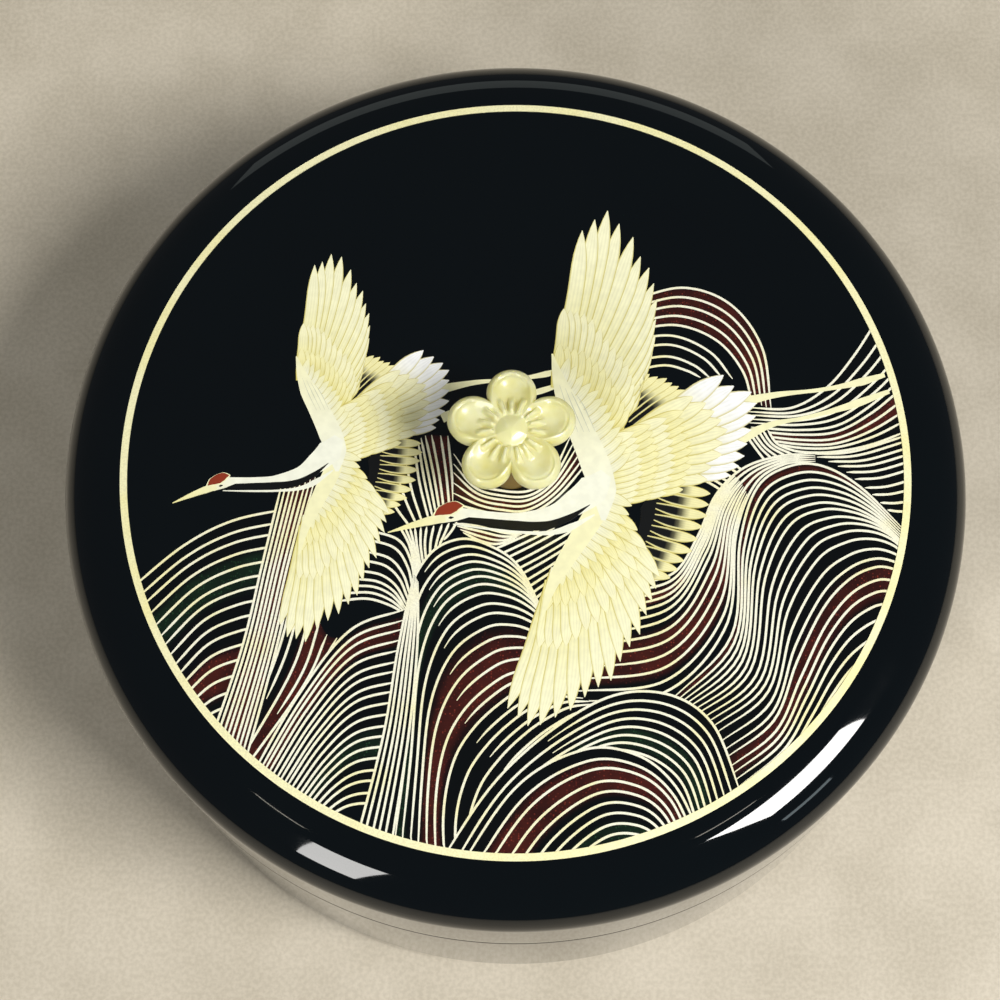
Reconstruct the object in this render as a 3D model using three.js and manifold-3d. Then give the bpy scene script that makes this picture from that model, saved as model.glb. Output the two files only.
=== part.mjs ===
// Round lacquered powder box with a lift-off lid and a plum blossom knob.
// Millimetres, +Z up, origin at the centre of the underside, the blossom's first petal towards +Y.
import * as THREE from "three";
import { mergeVertices } from "three/addons/utils/BufferGeometryUtils.js";
import Module from "manifold-3d";

// Driving dimensions of the closed box
const BOX_RADIUS = 62.5;
const BOX_HEIGHT = 60;
const SEAM_HEIGHT = 37.6;
const RESTING_GAP = 0.3;

// Lid: a flat printed top, an elliptical shoulder and a straight skirt
const TOP_FLAT_RADIUS = 54;
const SHOULDER_DROP = 6;
const LID_TOP_THICKNESS = 2.6;
const SKIRT_THICKNESS = 1.8;
const INNER_SHOULDER_REACH = 7;
const INNER_SHOULDER_DROP = 5;
const EDGE_BREAK = 0.4;

// Base: a straight wall with a rounded foot and a locating lip that the skirt slips over
const LIP_CLEARANCE = 0.3;
const LIP_THICKNESS = 1.8;
const LIP_RISE = 5;
const FLOOR_THICKNESS = 3;
const FOOT_ROUNDING = 4;
const FOOT_RING_INNER_RADIUS = 52;
const FOOT_RECESS = 1;
const INNER_FLOOR_ROUNDING = 5;

// Knob: five petals round a boss, on a waisted stem, fixed a little to the left of the lid's middle
const KNOB_OFFSET = -0.5;
const PETAL_COUNT = 5;
const PETAL_CENTRE_RADIUS = 5.4;
const PETAL_RADIUS = 3.3;
const FIRST_PETAL_ANGLE = Math.PI / 2;
const BLOSSOM_RIM_HEIGHT = 15;
const BLOSSOM_THICKNESS = 3.4;
const PETAL_DISH_DEPTH = 1.3;
const PETAL_CREST = 0.7;
const RIM_FALL = 1.5;
const UNDERSIDE_FALL = 2.2;
const BOSS_RADIUS = 2.1;
const BOSS_RISE = 1.7;
const STAMENS_PER_PETAL = 3;
const STAMEN_SPACING = 0.36;
const STAMEN_START = 2.2;
const STAMEN_END = 4.9;
const STAMEN_HALF_WIDTH = 0.34;
const STAMEN_RISE = 0.8;
const STEM_FOOT_RADIUS = 3.6;
const STEM_WAIST_RADIUS = 2.3;
const STEM_TOP_RADIUS = 3.4;

// Facets
const TURNED_SEGMENTS = 72;
const ARC_STEPS = 6;
const PETAL_STEPS = 100;
const BLOSSOM_RINGS = 11;
const UNDERSIDE_RINGS = 2;
const STEM_SEGMENTS = 24;

const wasm = await Module();
wasm.setup();

// A closed geometry as a solid that can be joined to another
function toSolid(geometry) {
  const bare = geometry.clone();
  bare.deleteAttribute("normal");
  bare.deleteAttribute("uv");
  const merged = mergeVertices(bare, 1e-4);
  return new wasm.Manifold(
    new wasm.Mesh({
      numProp: 3,
      vertProperties: new Float32Array(merged.attributes.position.array),
      triVerts: new Uint32Array(merged.index.array),
    }),
  );
}

// A solid back as a geometry
function toGeometry(solid) {
  const mesh = solid.getMesh();
  const geometry = new THREE.BufferGeometry();
  geometry.setAttribute("position", new THREE.BufferAttribute(mesh.vertProperties, 3));
  geometry.setIndex(new THREE.BufferAttribute(mesh.triVerts, 1));
  geometry.computeVertexNormals();
  return geometry;
}

// Points on a quarter ellipse about a centre, in the plane of radius and height
function ellipseArc(centreRadius, centreHeight, reach, rise, fromAngle, toAngle, steps = ARC_STEPS) {
  return Array.from({ length: steps + 1 }, (_, step) => {
    const angle = fromAngle + ((toAngle - fromAngle) * step) / steps;
    return new THREE.Vector2(
      Math.max(centreRadius + reach * Math.cos(angle), 0),
      centreHeight + rise * Math.sin(angle),
    );
  });
}

// A profile of radius and height turned about the vertical axis, anticlockwise in the half plane
function turned(profile, segments = TURNED_SEGMENTS) {
  const geometry = new THREE.LatheGeometry(profile, segments);
  geometry.rotateX(Math.PI / 2);
  return geometry;
}

function point(radius, height) {
  return new THREE.Vector2(radius, height);
}

// Hollow lower half: floor, straight wall, seat for the lid and the lip inside it
function baseProfile() {
  const lipOuter = BOX_RADIUS - SKIRT_THICKNESS - LIP_CLEARANCE;
  const lipInner = lipOuter - LIP_THICKNESS;
  const lipTop = SEAM_HEIGHT + LIP_RISE;
  const innerCentre = lipInner - INNER_FLOOR_ROUNDING;
  const floorTop = FOOT_RECESS + FLOOR_THICKNESS;
  return [
    point(0, FOOT_RECESS),
    point(FOOT_RING_INNER_RADIUS, FOOT_RECESS),
    point(FOOT_RING_INNER_RADIUS + FOOT_RECESS, 0),
    ...ellipseArc(
      BOX_RADIUS - FOOT_ROUNDING, FOOT_ROUNDING, FOOT_ROUNDING, FOOT_ROUNDING, -Math.PI / 2, 0,
    ),
    point(BOX_RADIUS, SEAM_HEIGHT - EDGE_BREAK),
    point(BOX_RADIUS - EDGE_BREAK, SEAM_HEIGHT),
    point(lipOuter, SEAM_HEIGHT),
    point(lipOuter, lipTop - EDGE_BREAK),
    point(lipOuter - EDGE_BREAK, lipTop),
    point(lipInner + EDGE_BREAK, lipTop),
    point(lipInner, lipTop - EDGE_BREAK),
    ...ellipseArc(
      innerCentre, floorTop + INNER_FLOOR_ROUNDING, INNER_FLOOR_ROUNDING, INNER_FLOOR_ROUNDING,
      0, -Math.PI / 2,
    ),
    point(0, floorTop),
  ];
}

// Hollow upper half: flat top, rounded shoulder and the skirt that slips over the base's lip
function lidProfile() {
  const skirtFoot = SEAM_HEIGHT + RESTING_GAP;
  const skirtInner = BOX_RADIUS - SKIRT_THICKNESS;
  const ceiling = BOX_HEIGHT - LID_TOP_THICKNESS;
  return [
    point(0, ceiling),
    ...ellipseArc(
      skirtInner - INNER_SHOULDER_REACH, ceiling - INNER_SHOULDER_DROP,
      INNER_SHOULDER_REACH, INNER_SHOULDER_DROP, Math.PI / 2, 0,
    ),
    point(skirtInner, skirtFoot),
    point(BOX_RADIUS - EDGE_BREAK, skirtFoot),
    point(BOX_RADIUS, skirtFoot + EDGE_BREAK),
    ...ellipseArc(
      TOP_FLAT_RADIUS, BOX_HEIGHT - SHOULDER_DROP,
      BOX_RADIUS - TOP_FLAT_RADIUS, SHOULDER_DROP, 0, Math.PI / 2, 2 * ARC_STEPS,
    ),
    point(0, BOX_HEIGHT),
  ];
}

// Turn from the nearest petal's middle line, from -PI / PETAL_COUNT to PI / PETAL_COUNT
function turnFromPetal(angle) {
  const pitch = (2 * Math.PI) / PETAL_COUNT;
  const turn = angle - FIRST_PETAL_ANGLE;
  return turn - pitch * Math.round(turn / pitch);
}

// Reach of the blossom's outline: the far side of the nearest petal's circle
function petalReach(angle) {
  const turn = turnFromPetal(angle);
  const across = PETAL_CENTRE_RADIUS * Math.sin(turn);
  return PETAL_CENTRE_RADIUS * Math.cos(turn) + Math.sqrt(PETAL_RADIUS ** 2 - across ** 2);
}

// Raised ridges that fan out from the boss, rounded across and fading at both ends
function stamenHeight(radius, angle) {
  const along = (radius - STAMEN_START) / (STAMEN_END - STAMEN_START);
  if (along <= 0 || along >= 1) return 0;
  const turn = turnFromPetal(angle);
  const middle = (STAMENS_PER_PETAL - 1) / 2;
  const index = THREE.MathUtils.clamp(Math.round(turn / STAMEN_SPACING), -middle, middle);
  const across = (radius * (turn - index * STAMEN_SPACING)) / STAMEN_HALF_WIDTH;
  return STAMEN_RISE * Math.max(0, 1 - across ** 2) * Math.min(1, 4 * (1 - along));
}

// Height of the blossom's face at a share of the way from the axis to its outline
function faceHeight(share, angle) {
  const radius = share * petalReach(angle);
  const turn = turnFromPetal(angle);
  const beyond = Math.max(0, radius * Math.cos(turn) - PETAL_CENTRE_RADIUS);
  const across = radius * Math.sin(turn);
  const lobe = Math.hypot(beyond, across) / PETAL_RADIUS;
  const dish = Math.max(0, 1 - (lobe / PETAL_CREST) ** 2);
  const pastCrest = Math.max(0, (share - PETAL_CREST) / (1 - PETAL_CREST));
  const rim = RIM_FALL * (1 - Math.sqrt(Math.max(0, 1 - pastCrest ** 2)));
  const boss = BOSS_RISE * Math.sqrt(Math.max(0, 1 - (radius / BOSS_RADIUS) ** 2));
  const height = BLOSSOM_RIM_HEIGHT - PETAL_DISH_DEPTH * dish - rim;
  return height + boss + stamenHeight(radius, angle);
}

// Underside of the blossom, falling from the outline towards the stem
function undersideHeight(share, angle) {
  const rimUnderside = faceHeight(1, angle) - (BLOSSOM_THICKNESS - RIM_FALL);
  return rimUnderside - UNDERSIDE_FALL * (1 - share ** 2);
}

// Blossom as rings of points from the middle of its face over the outline to the middle underneath
function blossomGeometry() {
  const rings = [];
  for (let ring = 1; ring <= BLOSSOM_RINGS; ring++) rings.push([ring / BLOSSOM_RINGS, faceHeight]);
  for (let ring = UNDERSIDE_RINGS; ring >= 1; ring--) {
    rings.push([ring / UNDERSIDE_RINGS, undersideHeight]);
  }
  const positions = [0, 0, faceHeight(0, 0)];
  for (const [share, height] of rings) {
    for (let step = 0; step < PETAL_STEPS; step++) {
      const angle = (2 * Math.PI * step) / PETAL_STEPS;
      const radius = share * petalReach(angle);
      positions.push(radius * Math.cos(angle), radius * Math.sin(angle), height(share, angle));
    }
  }
  positions.push(0, 0, undersideHeight(0, 0));
  const last = positions.length / 3 - 1;
  const at = (ring, step) => 1 + ring * PETAL_STEPS + (step % PETAL_STEPS);
  const index = [];
  for (let step = 0; step < PETAL_STEPS; step++) {
    index.push(0, at(0, step), at(0, step + 1));
    for (let ring = 0; ring + 1 < rings.length; ring++) {
      index.push(at(ring, step), at(ring + 1, step), at(ring + 1, step + 1));
      index.push(at(ring, step), at(ring + 1, step + 1), at(ring, step + 1));
    }
    index.push(at(rings.length - 1, step), last, at(rings.length - 1, step + 1));
  }
  const geometry = new THREE.BufferGeometry();
  geometry.setAttribute("position", new THREE.Float32BufferAttribute(positions, 3));
  geometry.setIndex(index);
  return geometry;
}

// Waisted stem that carries the blossom, standing on the lid
function stemGeometry() {
  const top = undersideHeight(0, 0) + UNDERSIDE_FALL;
  const waistHeight = top / 2;
  const flare = new THREE.SplineCurve([
    point(STEM_FOOT_RADIUS, RESTING_GAP),
    point(STEM_WAIST_RADIUS + EDGE_BREAK, waistHeight / 2),
    point(STEM_WAIST_RADIUS, waistHeight),
    point(STEM_TOP_RADIUS, top),
  ]);
  const profile = [point(0, RESTING_GAP), ...flare.getPoints(ARC_STEPS), point(0, top)];
  return turned(profile, STEM_SEGMENTS);
}

function knobGeometry() {
  return toGeometry(toSolid(blossomGeometry()).add(toSolid(stemGeometry())));
}

const lacquer = new THREE.MeshStandardMaterial({ color: 0x050608, roughness: 0.08, metalness: 0 });
const resin = new THREE.MeshStandardMaterial({ color: 0xe6e2a6, roughness: 0.22, metalness: 0 });

function named(name, geometry, material) {
  const mesh = new THREE.Mesh(geometry, material);
  mesh.name = name;
  return mesh;
}

const powderBox = new THREE.Group();
powderBox.add(named("box_base", turned(baseProfile()), lacquer));
powderBox.add(named("box_lid", turned(lidProfile()), lacquer));

const knob = named("blossom_knob", knobGeometry(), resin);
knob.position.set(KNOB_OFFSET, 0, BOX_HEIGHT);
powderBox.add(knob);

export default powderBox;
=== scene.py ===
"""The looks of a round lacquered powder box.

Gloss black lacquer, a printed picture of cranes over combed waves on the lid, and a resin blossom knob.
Print sizes are in millimetres on the lid's flat top: x to the right, y away from the viewer.
"""

import logging
import math
import random
from dataclasses import dataclass
from enum import Enum
from typing import Callable, Sequence

import bmesh
import bpy
from mathutils import Matrix, Vector


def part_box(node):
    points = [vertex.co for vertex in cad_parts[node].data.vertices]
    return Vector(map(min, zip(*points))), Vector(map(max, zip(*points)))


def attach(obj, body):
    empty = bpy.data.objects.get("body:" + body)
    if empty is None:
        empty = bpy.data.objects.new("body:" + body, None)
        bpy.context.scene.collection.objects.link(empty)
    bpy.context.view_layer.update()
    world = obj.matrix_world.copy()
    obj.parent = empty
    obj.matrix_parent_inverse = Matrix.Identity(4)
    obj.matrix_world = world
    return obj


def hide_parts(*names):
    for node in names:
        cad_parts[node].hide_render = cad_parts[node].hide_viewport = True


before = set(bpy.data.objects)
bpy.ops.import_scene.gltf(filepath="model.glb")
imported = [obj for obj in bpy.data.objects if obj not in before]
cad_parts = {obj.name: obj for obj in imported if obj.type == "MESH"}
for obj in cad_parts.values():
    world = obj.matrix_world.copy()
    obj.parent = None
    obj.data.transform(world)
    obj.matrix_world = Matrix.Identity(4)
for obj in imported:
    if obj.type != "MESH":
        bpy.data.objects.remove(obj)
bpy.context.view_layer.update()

LOG = logging.getLogger("powder_box")
BODY = "root"
MM = 0.001
FULL_TURN = 2 * math.pi
SMOOTH_LIMIT = math.radians(32)
DAYLIGHT = (1.0, 0.985, 0.96)

Colour = tuple[float, float, float, float]
Place = Callable[[float, float], Vector]
Point = tuple[float, float]
Material = bpy.types.Material
Socket = bpy.types.NodeSocket


def srgb(red: int, green: int, blue: int) -> Colour:
    """Linear colour of a screen colour given from 0 to 255.

    Args:
        red: Red from 0 to 255.
        green: Green from 0 to 255.
        blue: Blue from 0 to 255.

    Returns:
        The linear colour, opaque.
    """

    def linear(value: int) -> float:
        """One channel, straightened."""
        share = value / 255
        return share / 12.92 if share <= 0.04045 else ((share + 0.055) / 1.055) ** 2.4

    return (linear(red), linear(green), linear(blue), 1.0)


def mixed(first: Colour, second: Colour, share: float) -> Colour:
    """Colour at a share of the way from the first to the second."""
    return tuple(a + (b - a) * share for a, b in zip(first, second))


def eased(value: float) -> float:
    """A share from 0 to 1 with soft ends."""
    share = min(max(value, 0.0), 1.0)
    return share * share * (3 - 2 * share)


def through(points: Sequence[Point], share: float) -> Vector:
    """Point on a smooth curve that runs through a few points.

    Args:
        points: Points in order, two or more.
        share: How far along the curve, from 0 to 1.

    Returns:
        The point on the curve.
    """
    spots = [Vector(p) for p in points]
    spots.insert(0, 2 * spots[0] - spots[1])
    spots.append(2 * spots[-1] - spots[-2])
    scaled = min(max(share, 0.0), 1.0) * (len(spots) - 3)
    index = min(int(scaled), len(spots) - 4)
    t = scaled - index
    before, start, end, after = spots[index : index + 4]
    bend = 2 * before - 5 * start + 4 * end - after
    twist = 3 * start - before - 3 * end + after
    return 0.5 * (2 * start + (end - before) * t + bend * t**2 + twist * t**3)


def along_values(values: Sequence[float], share: float) -> float:
    """Value at a share of the way along an evenly spaced row of values.

    Args:
        values: The row, two values or more.
        share: How far along it, from 0 to 1.

    Returns:
        The value there.
    """
    scaled = min(max(share, 0.0), 1.0) * (len(values) - 1)
    index = min(int(scaled), len(values) - 2)
    return values[index] + (values[index + 1] - values[index]) * (scaled - index)


class NodeSheet:
    """A new material's nodes, with short ways to add, set and join them."""

    def __init__(self, name: str) -> None:
        """Start a material of this name with its main shader.

        Args:
            name: The material's name.
        """
        self.material = bpy.data.materials.new(name)
        self.material.use_nodes = True
        self.tree = self.material.node_tree
        self.shader = self.tree.nodes["Principled BSDF"]

    def add(self, kind: str, **settings: object) -> bpy.types.Node:
        """A new node of this kind with these settings.

        Args:
            kind: The node's type.
            settings: Its properties by name.

        Returns:
            The node.
        """
        node = self.tree.nodes.new(kind)
        for key, value in settings.items():
            setattr(node, key, value)
        return node

    def put(self, socket: Socket, value: object) -> None:
        """Join an output socket to this input, or set a plain value on it.

        Args:
            socket: The input.
            value: An output socket or a plain value.
        """
        if isinstance(value, Socket):
            self.tree.links.new(value, socket)
        else:
            socket.default_value = value

    def surface(self, **values: object) -> None:
        """Set or join the main shader's inputs, named with underscores for spaces."""
        for key, value in values.items():
            self.put(self.shader.inputs[key.replace("_", " ")], value)

    def math(self, operation: str, first: object, second: object = 0.0) -> Socket:
        """Work out two values, each a number or an output.

        Args:
            operation: What is done with them.
            first: The first value.
            second: The second value.

        Returns:
            The result's output.
        """
        node = self.add("ShaderNodeMath", operation=operation)
        self.put(node.inputs[0], first)
        self.put(node.inputs[1], second)
        return node.outputs[0]

    def ramp(self, value: object, low: float, high: float, start: float = 0.0, end: float = 1.0) -> object:
        """Go softly from one value to another as an input rises.

        Args:
            value: The input.
            low: Where the rise begins.
            high: Where it ends.
            start: The value up to low.
            end: The value from high on.

        Returns:
            The ramp's output.
        """
        node = self.add("ShaderNodeMapRange", interpolation_type="SMOOTHSTEP")
        for index, number in enumerate((value, low, high, start, end)):
            self.put(node.inputs[index], number)
        return node.outputs[0]

    def blend(self, share: object, first: object, second: object, how: str = "MIX") -> object:
        """Mix two colours.

        Args:
            share: How much of the second there is.
            first: The first colour.
            second: The second colour.
            how: The way of mixing.

        Returns:
            The colour's output.
        """
        node = self.add("ShaderNodeMix", data_type="RGBA", blend_type=how)
        self.put(node.inputs[0], share)
        self.put(node.inputs[6], first)
        self.put(node.inputs[7], second)
        return node.outputs[2]

    def place(self) -> Socket:
        """The piece's own coordinates, in metres."""
        return self.add("ShaderNodeTexCoord").outputs["Object"]

    def noise(self, scale: float, detail: float = 2.0) -> Socket:
        """Cloudy grey over the piece.

        Args:
            scale: Features to the metre.
            detail: How fine it gets.

        Returns:
            The grey's output.
        """
        node = self.add("ShaderNodeTexNoise")
        self.put(node.inputs["Vector"], self.place())
        self.put(node.inputs["Scale"], scale)
        self.put(node.inputs["Detail"], detail)
        return node.outputs["Fac"]

    def cloud(self, scale: float, detail: float, start: float = 0.0, end: float = 1.0,
              low: float = 0.3, high: float = 0.7) -> Socket:
        """Noise with its middle stretch, from low to high, spread softly from start to end."""
        return self.ramp(self.noise(scale, detail), low, high, start, end)

    def scaled_sum(self, first: object, factor: float, added: object) -> Socket:
        """Multiply a value by a factor and add another value.

        Args:
            first: The value.
            factor: The factor.
            added: What is added.

        Returns:
            The sum's output.
        """
        total = self.math("MULTIPLY_ADD", first, factor)
        self.put(total.node.inputs[2], added)
        return total

    def shaded(self, colour: object, light: object) -> Socket:
        """Make a colour lighter or darker.

        Args:
            colour: The colour.
            light: What it is multiplied by.

        Returns:
            The colour's output.
        """
        grey = self.add("ShaderNodeCombineColor")
        for socket in grey.inputs:
            self.put(socket, light)
        return self.blend(1.0, colour, grey.outputs[0], "MULTIPLY")

    def channels(self, colour: object) -> tuple[Socket, Socket]:
        """Split a colour.

        Args:
            colour: The colour.

        Returns:
            Its red and its green.
        """
        split = self.add("ShaderNodeSeparateColor")
        self.put(split.inputs[0], colour)
        return (split.outputs[0], split.outputs[1])

    def cells(self, scale: float) -> bpy.types.Node:
        """Scattered cells over the piece.

        Args:
            scale: Cells to the metre.

        Returns:
            The node, with its distance and colour outputs.
        """
        node = self.add("ShaderNodeTexVoronoi")
        self.put(node.inputs["Vector"], self.place())
        self.put(node.inputs["Scale"], scale)
        return node

    def attribute(self, name: str) -> bpy.types.Node:
        """The piece's own attribute of this name."""
        return self.add("ShaderNodeAttribute", attribute_name=name)

    def bump(self, height: object, distance: float, strength: float = 1.0) -> Socket:
        """Tilt the surface by a height.

        Args:
            height: The height's output.
            distance: Metres that a height of 1 stands for.
            strength: How much of it shows.

        Returns:
            The normal's output.
        """
        node = self.add("ShaderNodeBump")
        self.put(node.inputs["Strength"], strength)
        self.put(node.inputs["Distance"], distance)
        self.put(node.inputs["Height"], height)
        return node.outputs["Normal"]


@dataclass(frozen=True)
class BlackLacquer:
    """Deep navy-black gloss lacquer with a few grains of dust on it."""

    deep: Colour = srgb(1, 5, 9)
    sheen: Colour = srgb(2, 8, 12)
    grain: Colour = srgb(150, 158, 160)
    clouds_per_metre: float = 45.0
    grains_per_metre: float = 95.0
    grain_radius: float = 0.020
    smallest_grain: float = 0.3
    grain_share: float = 0.72
    grain_roughness: float = 0.7
    smears_per_metre: float = 70.0
    polished: float = 0.03
    smeared: float = 0.075
    ripples_per_metre: float = 220.0
    ripple_depth: float = 0.01 * MM
    ripple_strength: float = 0.25
    ior: float = 1.52

    def make(self) -> Material:
        """Mix the lacquer.

        Returns:
            The material.
        """
        sheet = NodeSheet("black_lacquer")
        cells = sheet.cells(self.grains_per_metre)
        chance, size = sheet.channels(cells.outputs["Color"])
        chosen = sheet.math("GREATER_THAN", chance, self.grain_share)
        radius = sheet.ramp(size, 0.0, 1.0, self.smallest_grain * self.grain_radius, self.grain_radius)
        inside = sheet.math("LESS_THAN", cells.outputs["Distance"], radius)
        grains = sheet.math("MULTIPLY", chosen, inside)
        ground = sheet.blend(sheet.noise(self.clouds_per_metre), self.deep, self.sheen)
        smear = sheet.cloud(self.smears_per_metre, 4.0, self.polished, self.smeared, low=0.45, high=0.8)
        ripple = sheet.noise(self.ripples_per_metre, 1.0)
        sheet.surface(
            Base_Color=sheet.blend(grains, ground, self.grain),
            Roughness=sheet.math("MAXIMUM", smear, sheet.math("MULTIPLY", grains, self.grain_roughness)),
            IOR=self.ior,
            Normal=sheet.bump(ripple, self.ripple_depth, self.ripple_strength),
        )
        return sheet.material


@dataclass(frozen=True)
class GoldPrint:
    """Pale gold ink, a little deeper in places."""

    name: str = "gold_print"
    pale: Colour = srgb(255, 253, 230)
    deep: Colour = srgb(253, 246, 190)
    roughness: float = 0.36
    metallic: float = 0.08
    clouds_per_metre: float = 110.0
    specks_per_metre: float = 4200.0
    dark_speck: float = 0.9
    bright_speck: float = 1.04

    def make(self) -> Material:
        """Mix the ink.

        Returns:
            The material.
        """
        sheet = NodeSheet(self.name)
        cloud = sheet.cloud(self.clouds_per_metre, 3.0, low=0.42, high=0.72)
        speck = sheet.cloud(self.specks_per_metre, 1.0, self.dark_speck, self.bright_speck)
        sheet.surface(
            Base_Color=sheet.shaded(sheet.blend(cloud, self.pale, self.deep), speck),
            Roughness=self.roughness,
            Metallic=self.metallic,
        )
        return sheet.material


@dataclass(frozen=True)
class DustedLacquer:
    """Black lacquer with bands of sprinkled metal dust, coloured by the print's own tint."""

    deep: Colour = srgb(4, 7, 9)
    flakes_per_metre: float = 3300.0
    flake_glow: float = 2.4
    clouds_per_metre: float = 260.0
    thinnest: float = 0.4
    thickest: float = 0.85
    roughness: float = 0.12

    def make(self) -> Material:
        """Mix the lacquer and its dust.

        Returns:
            The material.
        """
        sheet = NodeSheet("dusted_lacquer")
        cells = sheet.cells(self.flakes_per_metre)
        bright = sheet.ramp(sheet.channels(cells.outputs["Color"])[0], 0.55, 1.0)
        near = sheet.ramp(cells.outputs["Distance"], 0.15, 0.5, 1.0, 0.0)
        flakes = sheet.math("MULTIPLY", bright, near)
        cloud = sheet.cloud(self.clouds_per_metre, 3.0, self.thinnest, self.thickest)
        amount = sheet.scaled_sum(flakes, self.flake_glow, cloud)
        dust = sheet.shaded(sheet.attribute("tint").outputs["Color"], amount)
        sheet.surface(Base_Color=sheet.blend(1.0, self.deep, dust, "ADD"), Roughness=self.roughness)
        return sheet.material


@dataclass(frozen=True)
class FeatherPrint:
    """Pearl ink with an olive line round each feather and faint slanting streaks along it."""

    line: Colour = srgb(212, 202, 138)
    line_start: float = 0.74
    line_end: float = 0.97
    line_share: float = 0.9
    streaks: float = 2.3
    slant: float = 0.35
    dark_streak: float = 0.94
    bright_streak: float = 1.02
    clouds_per_metre: float = 700.0
    dark_cloud: float = 0.95
    bright_cloud: float = 1.03
    roughness: float = 0.33

    def make(self) -> Material:
        """Mix the ink.

        Returns:
            The material.
        """
        sheet = NodeSheet("feather_print")
        tint = sheet.attribute("tint").outputs["Color"]
        across = sheet.attribute("across").outputs["Fac"]
        along = sheet.attribute("along").outputs["Fac"]
        slant = sheet.scaled_sum(along, self.slant, across)
        wave = sheet.math("SINE", sheet.math("MULTIPLY", slant, FULL_TURN * self.streaks))
        streak = sheet.ramp(wave, -1.0, 1.0, self.dark_streak, self.bright_streak)
        cloud = sheet.cloud(self.clouds_per_metre, 2.0, self.dark_cloud, self.bright_cloud)
        vane = sheet.shaded(tint, sheet.math("MULTIPLY", streak, cloud))
        side = sheet.math("ABSOLUTE", across)
        edge = sheet.ramp(side, self.line_start, self.line_end, 0.0, self.line_share)
        lined = sheet.blend(1.0, tint, self.line, "MULTIPLY")
        sheet.surface(Base_Color=sheet.blend(edge, vane, lined), Roughness=self.roughness)
        return sheet.material


@dataclass(frozen=True)
class BlossomResin:
    """Pale yellow milky resin with a gloss skin, clearer down its stem, where amber is painted as shade and
    lid reflection under the petals.
    """

    lid_top: float
    pale: Colour = srgb(246, 244, 196)
    deep: Colour = srgb(236, 230, 156)
    # Painted highlight: a lighter colour for the stamens and the raised centre.
    ridge_highlight: Colour = srgb(255, 250, 186)
    # Painted shade and reflection: an amber colour for the stem under the petals.
    amber_shade_and_reflection: Colour = srgb(214, 170, 78)
    clouds_per_metre: float = 240.0
    see_through: float = 0.16
    stem_see_through: float = 0.75
    scatter: float = 0.55
    scatter_depth: float = 2.2 * MM
    scatter_tint: tuple[float, float, float] = (1.0, 0.92, 0.5)
    stem_clear_below: float = 8.5 * MM
    stem_milky_above: float = 11.5 * MM
    roughness: float = 0.26
    skin: float = 0.2
    skin_roughness: float = 0.12
    ripples_per_metre: float = 420.0
    ripple_depth: float = 0.06 * MM
    ripple_strength: float = 0.4
    ior: float = 1.5

    def make(self) -> Material:
        """Mix the resin.

        Returns:
            The material.
        """
        sheet = NodeSheet("blossom_resin")
        cloud = sheet.cloud(self.clouds_per_metre, 3.0)
        parts = sheet.add("ShaderNodeSeparateXYZ")
        sheet.put(parts.inputs[0], sheet.place())
        low, high = self.lid_top + self.stem_clear_below, self.lid_top + self.stem_milky_above
        flower = sheet.ramp(parts.outputs["Z"], low, high)
        milky = sheet.blend(cloud, self.pale, self.deep)
        # Painted highlight: the stamens and the raised centre get a lighter colour by the knob's ridge
        # share.
        highlighted = sheet.blend(sheet.attribute("ridge_highlight").outputs["Fac"], milky, self.ridge_highlight)
        ripple = sheet.noise(self.ripples_per_metre, 2.0)
        sheet.surface(
            # Painted shade and reflection: the stem below the flower is coloured amber.
            Base_Color=sheet.blend(flower, self.amber_shade_and_reflection, highlighted),
            Roughness=self.roughness,
            IOR=self.ior,
            Transmission_Weight=sheet.ramp(flower, 0.0, 1.0, self.stem_see_through, self.see_through),
            Subsurface_Weight=self.scatter,
            Subsurface_Scale=self.scatter_depth,
            Subsurface_Radius=self.scatter_tint,
            Coat_Weight=self.skin,
            Coat_Roughness=self.skin_roughness,
            Normal=sheet.bump(ripple, self.ripple_depth, self.ripple_strength),
        )
        return sheet.material


@dataclass(frozen=True)
class TableTop:
    """Pale warm grey laminate with a fine grain."""

    pale: Colour = srgb(218, 208, 189)
    dark: Colour = srgb(194, 184, 164)
    grains_per_metre: float = 1500.0
    grain_share: float = 0.5
    clouds_per_metre: float = 60.0
    cloud_share: float = 0.5
    bumps_per_metre: float = 1800.0
    bump_depth: float = 0.1 * MM
    bump_strength: float = 0.3
    roughness: float = 0.55

    def make(self) -> Material:
        """Mix the laminate.

        Returns:
            The material.
        """
        sheet = NodeSheet("table_top")
        grain = sheet.cloud(self.grains_per_metre, 5.0, low=0.32, high=0.68)
        cloud = sheet.cloud(self.clouds_per_metre, 4.0, 0.0, self.cloud_share)
        bumps = sheet.noise(self.bumps_per_metre, 3.0)
        sheet.surface(
            Base_Color=sheet.blend(sheet.scaled_sum(grain, self.grain_share, cloud), self.pale, self.dark),
            Roughness=self.roughness,
            Normal=sheet.bump(bumps, self.bump_depth, self.bump_strength),
        )
        return sheet.material


def new_object(name: str, mesh: bmesh.types.BMesh, material: Material) -> bpy.types.Object:
    """Turn a bmesh into an object in the scene.

    Args:
        name: The object's name.
        mesh: The bmesh, which is freed.
        material: Its one material.

    Returns:
        The object, at the origin.
    """
    data = bpy.data.meshes.new(name)
    mesh.to_mesh(data)
    mesh.free()
    data.materials.append(material)
    made = bpy.data.objects.new(name, data)
    bpy.context.scene.collection.objects.link(made)
    return made


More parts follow.
